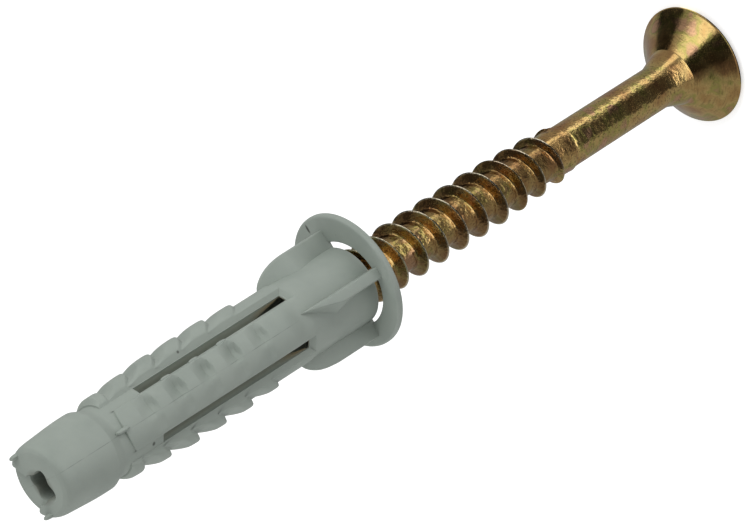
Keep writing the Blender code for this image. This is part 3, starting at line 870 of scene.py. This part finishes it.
def makeLumps(spec):
    # the gate's nib in the groove, two horns of flash on the nose's end, and bumps along a slot's edge
    lumps = [makeLump(*lump) for lump in spec["lumps"]]
    bumps = spec["bumps"]
    for number in bumps["teeth"]:
        along = toothStep(spec, number) + bumps["nearer"]
        edge = math.sqrt((padRadius(spec, along) + bumps["edge"]) ** 2 - spec["padHalf"] ** 2)
        side = -bumps["beside"] - spec["padHalf"]
        lumps.append(makeLump(along, side, edge - bumps["sunk"], quarter, *bumps["size"]))
    return lumps


def makeCollar(spec):
    # a rounded flat section turned about the axis, widened towards the oval hole by sin(turn) squared,
    # then shifted sideways and tilted
    (hole, wide), rim = spec["collarHole"], spec["collarRadius"]
    low, high = spec["collarFaces"]
    middle, columns = 0.5 * (hole + rim), spec["collarColumns"]
    section = filleted([(low, middle), (low, rim, 0.3), (high, rim, 0.25), (high, hole, 0.12),
                        (low, hole, 0.15), (low, middle)], 5)[:-1]
    turn = np.arange(columns) * math.tau / columns
    widen = (wide - hole) * np.sin(turn) ** 2
    points = np.stack([place(a, turn, r + widen * (rim - r) / (rim - hole)) for a, r in section])
    points[..., 2] -= points[..., 1] * math.tan(math.radians(spec["collarTilt"]))
    points[..., 0] += np.interp(section[:, 1:], [hole, rim], spec["collarShift"]) * mm
    rows = len(section)
    return points.reshape(-1, 3), [gridFaces(rows, columns), closingFaces(rows, columns)]


plugShells = [makeBody(plugSpec), makeCollar(plugSpec)]
plugShells += [makeWing(plugSpec, leg) for leg in range(4)]
plugShells += makeLumps(plugSpec)
makePiece("wallPlug", plugShells, nylon, "plug", "wall_plug")


# studio
studioSpec = {
    "floor": (0.8, 0.8, 0.8),
    "floorHalf": 2.0,  # m
    "floorHeight": -0.0001,
    "floorGlow": 0.5,  # added where it is seen, so that the floor shows white
    "panels": {  # degrees from the camera's side and over the floor, sizes in m, power in W
        "keyPanel": {"azimuth": 62.0, "height": 28.0, "width": 0.6, "depth": 0.22, "power": 1.8},
        "fillPanel": {"azimuth": -128.0, "height": 25.0, "width": 0.5, "depth": 0.4, "power": 1.3},
    },
    "panelAim": (0.0, 0.0, 0.05),
    "panelDistance": 0.6,
    "world": 0.54,
}
# what the gloss sees round about, as in a light tent with black flags: each patch is its middle azimuth
# from the camera's side, half its width, its lowest and highest angle over the floor, and its brightness
tentSpec = {
    "radius": 0.9,  # m
    "middleHeight": 0.03,
    "floor": 0.30,
    "wall": 0.30,
    "ceiling": 0.06,
    "ceilingFrom": 38.0,
    "soft": 5.0,  # degrees over which a patch fades; the ceiling takes twice as many
    "diskAngles": [-86.0, -80.0],
    "diskRest": (-76.0, -2.4, 1.5),  # from, to, and the step
    "domeAngles": (0.0, 90.0, 2.0),
    "columnStep": 2.0,
    "patches": [
        (-6.0, 38.0, -60.0, -20.0, 0.20),
        (-6.0, 38.0, -90.0, -46.0, 0.06),
        (-4.0, 36.0, -24.0, 8.0, 1.95),
        (54.0, 9.0, -90.0, -15.0, 1.30),
        (122.0, 27.0, -8.0, 30.0, 0.02),
        (-4.0, 28.0, 22.0, 80.0, 0.02),
        (60.0, 30.0, 34.0, 51.0, 1.33),
    ],
}


def stageMaterial(name, colour):
    # a cloth without gloss that can glow white
    material, tree, shader = newMaterial(name)
    shader.inputs["Base Color"].default_value = (*colour, 1.0)
    shader.inputs["Emission Color"].default_value = (1.0, 1.0, 1.0, 1.0)
    shader.inputs["Specular IOR Level"].default_value = 0.0
    return material, tree, shader


def tentGlow(spec, azimuth, height):
    # brightness = the ceiling's above its angle and the wall's below, and then each patch over what is
    # there, faded at its edges by smooth steps in azimuth and in height
    def step(value):
        return smoothStep(value / spec["soft"] + 0.5)

    glow = np.where(height < 0.0, spec["floor"], spec["wall"])
    glow = glow + (spec["ceiling"] - glow) * step((height - spec["ceilingFrom"]) * 0.5)
    for middle, half, low, high, brightness in spec["patches"]:
        beside = np.abs((azimuth - middle + 180.0) % 360.0 - 180.0)
        cover = step(half - beside) * step(height - low) * step(high - height)
        glow = glow + (brightness - glow) * cover
    return glow


def makeTent(spec, turn):
    # a closed dome on a disk, both in rows of equal height: the disk's angle is that under which it
    # is seen from middleHeight on the axis, so radius = middleHeight / tan(angle)
    heights = [spec["diskAngles"], np.arange(*spec["diskRest"]), np.arange(*spec["domeAngles"])]
    heights = np.concatenate(heights)
    azimuths = np.arange(0.0, 360.0, spec["columnStep"])
    onDisk = heights < 0.0
    diskOut = spec["middleHeight"] / np.tan(np.radians(np.maximum(-heights, 2.0)))
    out = np.where(onDisk, diskOut, spec["radius"] * np.cos(np.radians(heights)))
    up = np.where(onDisk, 0.0, spec["radius"] * np.sin(np.radians(heights)))
    around = np.radians(azimuths + turn)[None, :]
    x, y, z = np.broadcast_arrays(out[:, None] * np.sin(around), -out[:, None] * np.cos(around), up[:, None])
    points = np.concatenate([np.stack([x, y, z], -1).reshape(-1, 3), [[0.0, 0.0, spec["radius"]]]])
    rows, columns = x.shape
    mesh = bpy.data.meshes.new("glossTent")
    mesh.from_pydata(points.tolist(), [], gridFaces(rows, columns).tolist() + endFan(rows, columns).tolist())
    glow = tentGlow(spec, *np.broadcast_arrays(azimuths[None, :], heights[:, None]))
    values = mesh.attributes.new("glow", "FLOAT", "POINT")
    values.data.foreach_set("value", np.concatenate([glow.ravel(), [spec["ceiling"]]]).astype(np.float32))
    material, tree, shader = stageMaterial("tentCloth", (0.0, 0.0, 0.0))
    reader = tree.nodes.new("ShaderNodeAttribute")
    reader.attribute_name = "glow"
    tree.links.new(reader.outputs["Fac"], shader.inputs["Emission Strength"])
    material.cycles.emission_sampling = "NONE"
    mesh.materials.append(material)
    tent = addObject("glossTent", mesh)
    for ray in ("camera", "diffuse", "transmission", "volume_scatter", "shadow"):
        setattr(tent, "visible_" + ray, False)


def whereSeen(tree, other, seen):
    # one value for camera, glossy and transmission rays, and another for the other rays
    rays = tree.nodes.new("ShaderNodeLightPath").outputs
    either = combine(tree, rays["Is Camera Ray"], rays["Is Glossy Ray"], "MAXIMUM")
    either = combine(tree, either, rays["Is Transmission Ray"], "MAXIMUM")
    return remap(tree, either, 0.0, 1.0, other, seen)


def makeFloor(spec):
    # a flat grid, pale, and white where the camera sees it lit
    side = np.linspace(-spec["floorHalf"], spec["floorHalf"], 5)
    x, y = np.meshgrid(side, side)
    points = np.stack([x, y, np.full_like(x, spec["floorHeight"])], -1).reshape(-1, 3)
    mesh = bpy.data.meshes.new("studioFloor")
    mesh.from_pydata(points.tolist(), [], gridFaces(5, 5, closed=False).tolist())
    material, tree, shader = stageMaterial("paleFloor", spec["floor"])
    shader.inputs["Roughness"].default_value = 0.9
    tree.links.new(whereSeen(tree, 0.0, spec["floorGlow"]), shader.inputs["Emission Strength"])
    mesh.materials.append(material)
    floor = addObject("studioFloor", mesh)


def makeLights(spec, turn):
    # the panels light the nylon; the gloss sees the key as a patch of the tent
    for name, panel in spec["panels"].items():
        data = bpy.data.lights.new(name, "AREA")
        data.shape = "RECTANGLE"
        data.size = panel["width"]
        data.size_y = panel["depth"]
        data.energy = panel["power"]
        lamp = addObject(name, data)
        lamp.visible_glossy = False
        around, height = math.radians(panel["azimuth"] + turn), math.radians(panel["height"])
        flat = math.cos(height)
        direction = Vector((math.sin(around) * flat, -math.cos(around) * flat, math.sin(height)))
        spot = direction * spec["panelDistance"] + Vector(spec["panelAim"])
        lamp.matrix_world = Matrix.Translation(spot) @ direction.to_track_quat("Z", "Y").to_matrix().to_4x4()
    world = bpy.data.worlds.new("softRoom")
    bpy.context.scene.world = world
    world.use_nodes = True
    tree = world.node_tree
    background = tree.nodes["Background"]
    background.inputs["Color"].default_value = (1.0, 1.0, 1.0, 1.0)
    tree.links.new(whereSeen(tree, spec["world"], 1.0), background.inputs["Strength"])


makeFloor(studioSpec)
makeLights(studioSpec, cameraSet["azimuth"])
makeTent(tentSpec, cameraSet["azimuth"])
bpy.context.scene.view_settings.view_transform = "Standard"
print("studio set")
